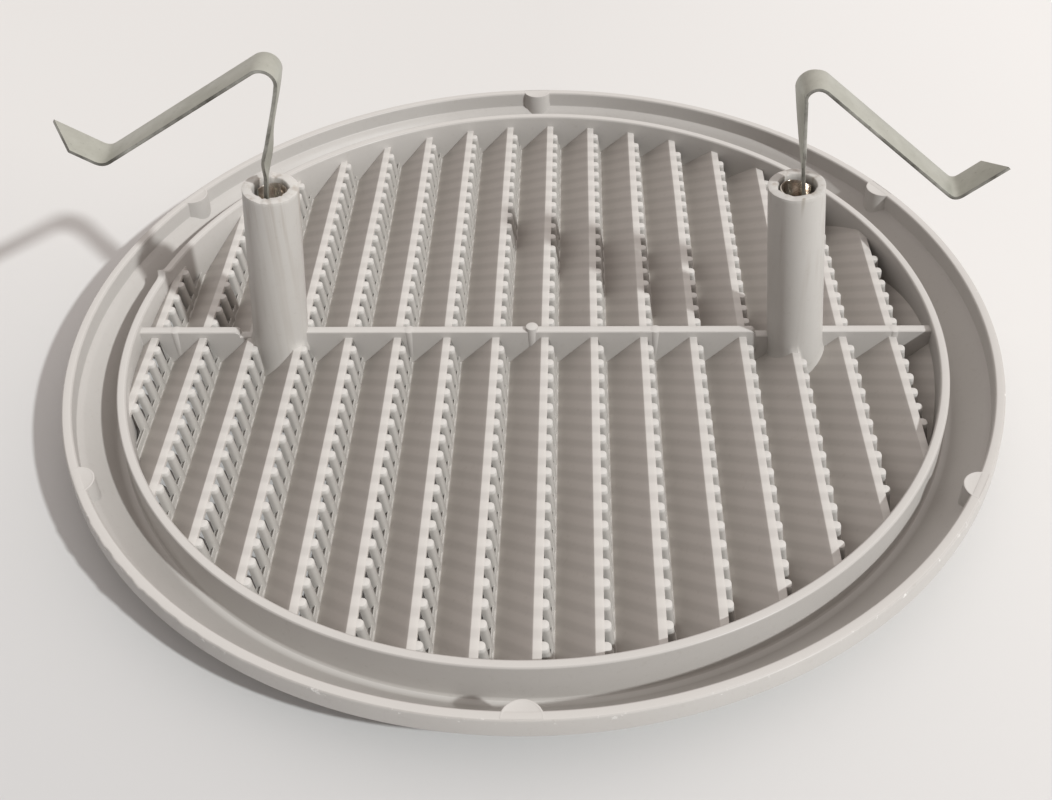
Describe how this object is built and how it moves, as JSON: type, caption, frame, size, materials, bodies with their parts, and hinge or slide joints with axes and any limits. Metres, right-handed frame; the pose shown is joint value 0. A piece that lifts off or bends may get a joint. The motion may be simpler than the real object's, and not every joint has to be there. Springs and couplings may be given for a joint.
{
  "type": "spring-clip louvre grille",
  "caption": "Round moulded air grille with slanted louvres over insect combs, a short spigot and bent strip spring clips in hollow posts.",
  "frame": {"origin": "centre of the front face, the face seen in the room", "axes": "+Z into the duct, louvres run along Y, clips stand on the X axis"},
  "size_m": [0.184, 0.184, 0.0709],
  "materials": {
    "plastic": "moulded, satin, warm off-white",
    "comb_plastic": "moulded, satin, warm off-white",
    "clip_steel": "zinc-plated spring steel strip"
  },
  "bodies": {
    "grille": {"flange_dish": "plastic", "flange_rim": "plastic", "collar": "plastic", "rim_pad_1": "plastic", "rim_pad_2": "plastic", "rim_pad_3": "plastic", "rim_pad_4": "plastic", "rim_pad_5": "plastic", "rim_pad_6": "plastic", "louvre_01": "plastic", "louvre_02": "plastic", "louvre_03": "plastic", "louvre_04": "plastic", "louvre_05": "plastic", "louvre_06": "plastic", "louvre_07": "plastic", "louvre_08": "plastic", "louvre_09": "plastic", "louvre_10": "plastic", "louvre_11": "plastic", "louvre_12": "plastic", "louvre_13": "plastic", "louvre_14": "plastic", "louvre_15": "plastic", "louvre_16": "plastic", "louvre_17": "plastic", "comb_01": "comb_plastic", "comb_02": "comb_plastic", "comb_03": "comb_plastic", "comb_04": "comb_plastic", "comb_05": "comb_plastic", "comb_06": "comb_plastic", "comb_07": "comb_plastic", "comb_08": "comb_plastic", "comb_09": "comb_plastic", "comb_10": "comb_plastic", "comb_11": "comb_plastic", "comb_12": "comb_plastic", "comb_13": "comb_plastic", "comb_14": "comb_plastic", "comb_15": "comb_plastic", "comb_16": "comb_plastic", "crossbar_left": "plastic", "crossbar_middle": "plastic", "crossbar_right": "plastic", "crossbar_boss_1": "plastic", "crossbar_boss_2": "plastic", "crossbar_boss_3": "plastic", "crossbar_boss_4": "plastic", "crossbar_boss_5": "plastic", "post_left": "plastic", "post_right": "plastic"},
    "left_clip": {"clip_left_leg": "clip_steel"},
    "left_arm": {"clip_left_arm": "clip_steel"},
    "right_clip": {"clip_right_leg": "clip_steel"},
    "right_arm": {"clip_right_arm": "clip_steel"}
  },
  "joints": [
    {"name": "left_clip_turn", "type": "hinge", "parent": "grille", "child": "left_clip", "pos_m": [-0.04853, 0, 0.03986], "axis": [0.0906, 0, 0.9959], "range_deg": [-45, 45]},
    {"name": "left_arm_flex", "type": "hinge", "parent": "left_clip", "child": "left_arm", "pos_m": [-0.0458, 0.00001, 0.06797], "axis": [0.0348, -0.9994, -0.0032], "range_deg": [0, 25], "stiffness_Nm_per_rad": 0.8},
    {"name": "right_clip_turn", "type": "hinge", "parent": "grille", "child": "right_clip", "pos_m": [0.05023, 0, 0.03986], "axis": [-0.0906, 0, 0.9959], "range_deg": [-45, 45]},
    {"name": "right_arm_flex", "type": "hinge", "parent": "right_clip", "child": "right_arm", "pos_m": [0.05125, -0.00038, 0.0637], "axis": [0.1179, 0.993, 0.0107], "range_deg": [0, 25], "stiffness_Nm_per_rad": 0.8}
  ]
}
